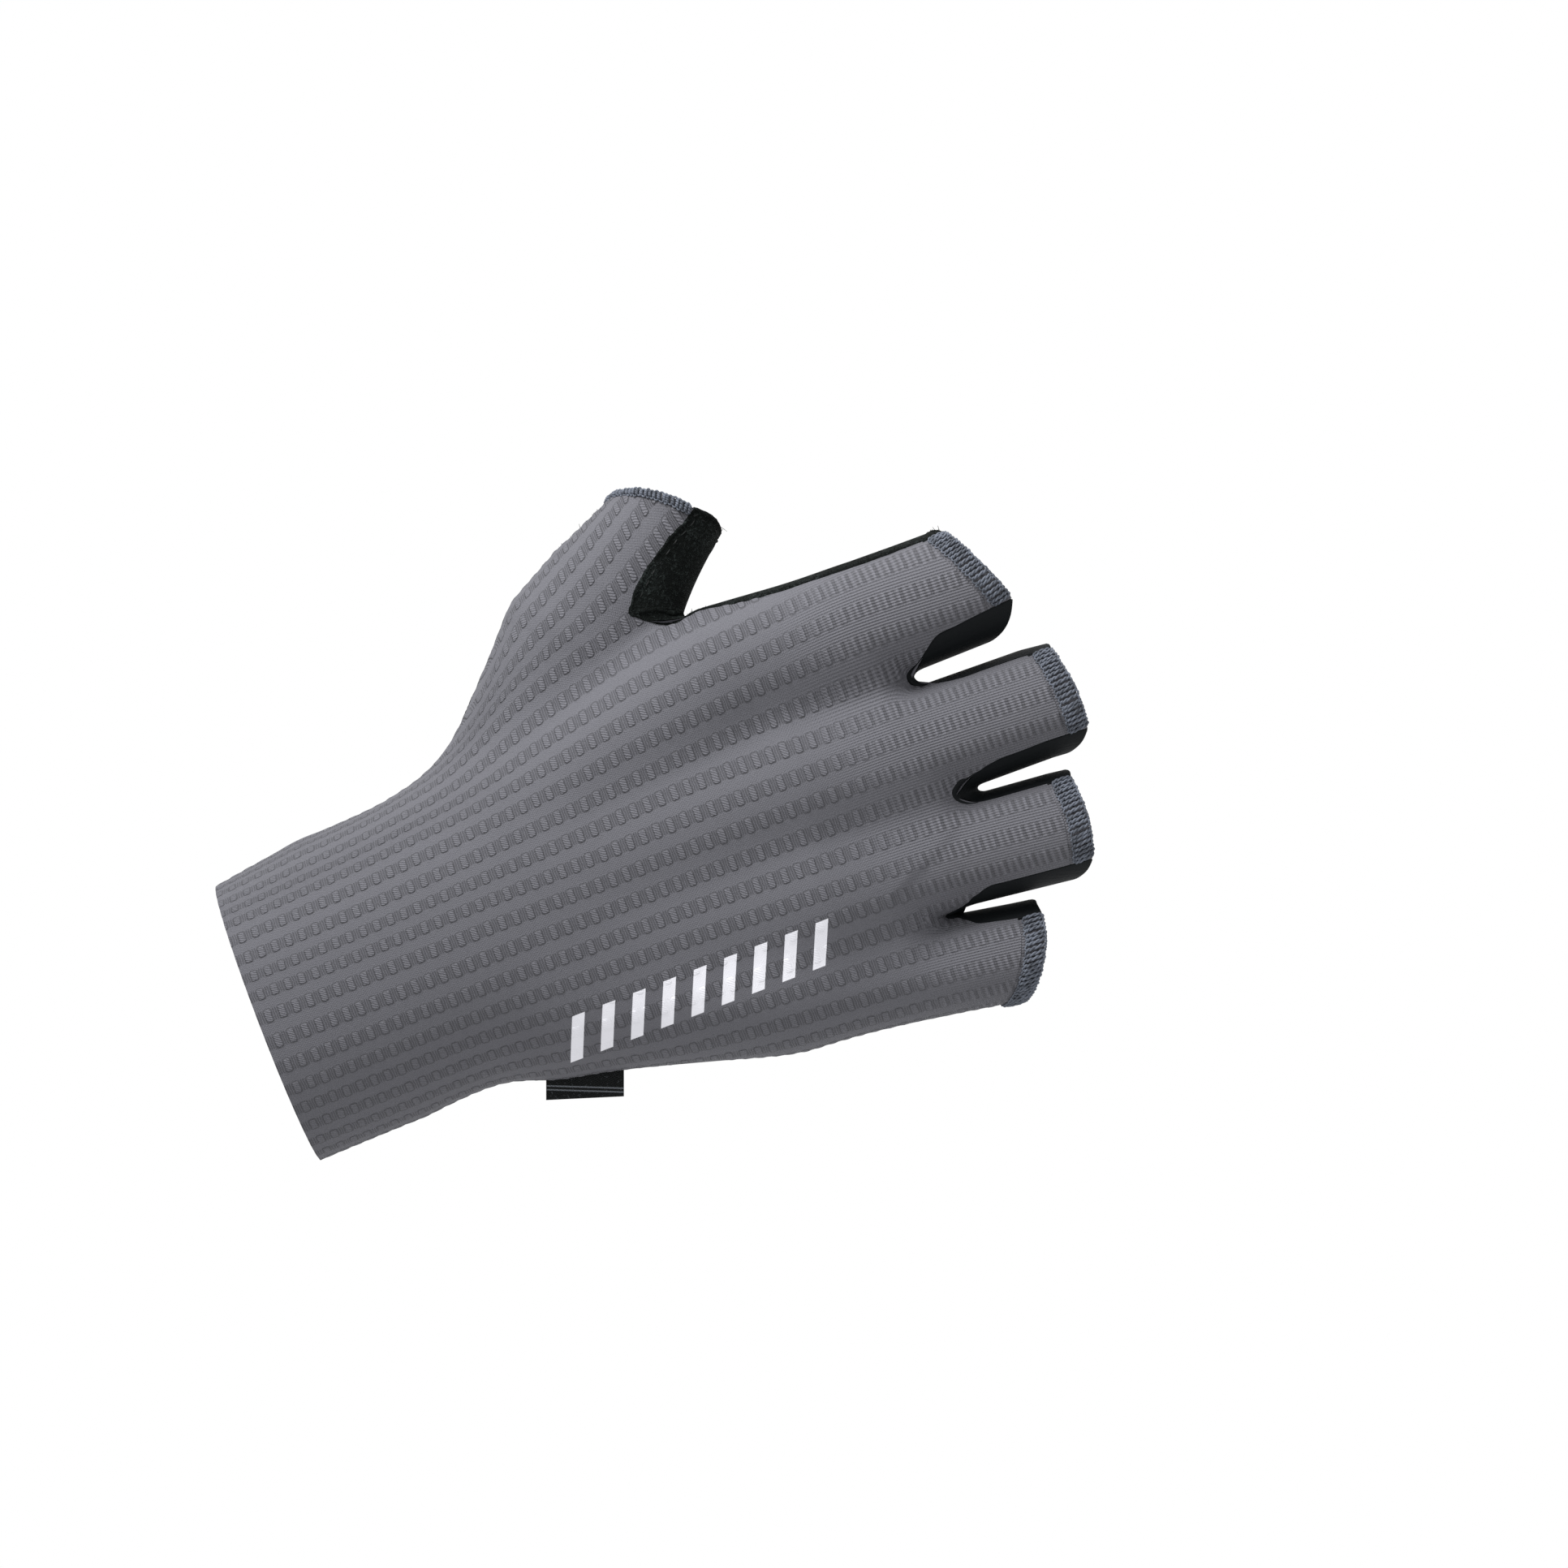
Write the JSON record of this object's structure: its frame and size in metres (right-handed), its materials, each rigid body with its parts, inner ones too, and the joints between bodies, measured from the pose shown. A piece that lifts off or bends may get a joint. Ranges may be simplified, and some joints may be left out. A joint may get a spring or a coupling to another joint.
{
  "type": "cycling glove",
  "caption": "Right-hand fingerless slip-on cycling mitt with an embossed knit back, suede palm and thumb, and a long plain cuff.",
  "frame": {"origin": "centre of the cuff's opening, where the forearm goes in", "axes": "+X along the hand to the fingers, +Z to the thumb's side, -Y out of the back of the hand"},
  "size_m": [0.1673, 0.0416, 0.12],
  "materials": {
    "back_knit": "embossed stretch knit",
    "palm_suede": "short pile microsuede",
    "thumb_suede": "brushed microsuede",
    "stretch_strips": "smooth stretch knit",
    "hem_thread": "overlocked thread",
    "label_tape": "woven tape"
  },
  "bodies": {
    "root": {"back_panel": "back_knit", "palm_panel": "palm_suede", "thumb_panel": "thumb_suede", "fourchette_ring_little": "stretch_strips", "fourchette_middle_ring": "stretch_strips", "fourchette_index_middle": "stretch_strips", "hem_little": "hem_thread", "hem_ring": "hem_thread", "hem_middle": "hem_thread", "hem_index": "hem_thread", "hem_thumb": "hem_thread", "side_label": "label_tape"}
  },
  "joints": []
}
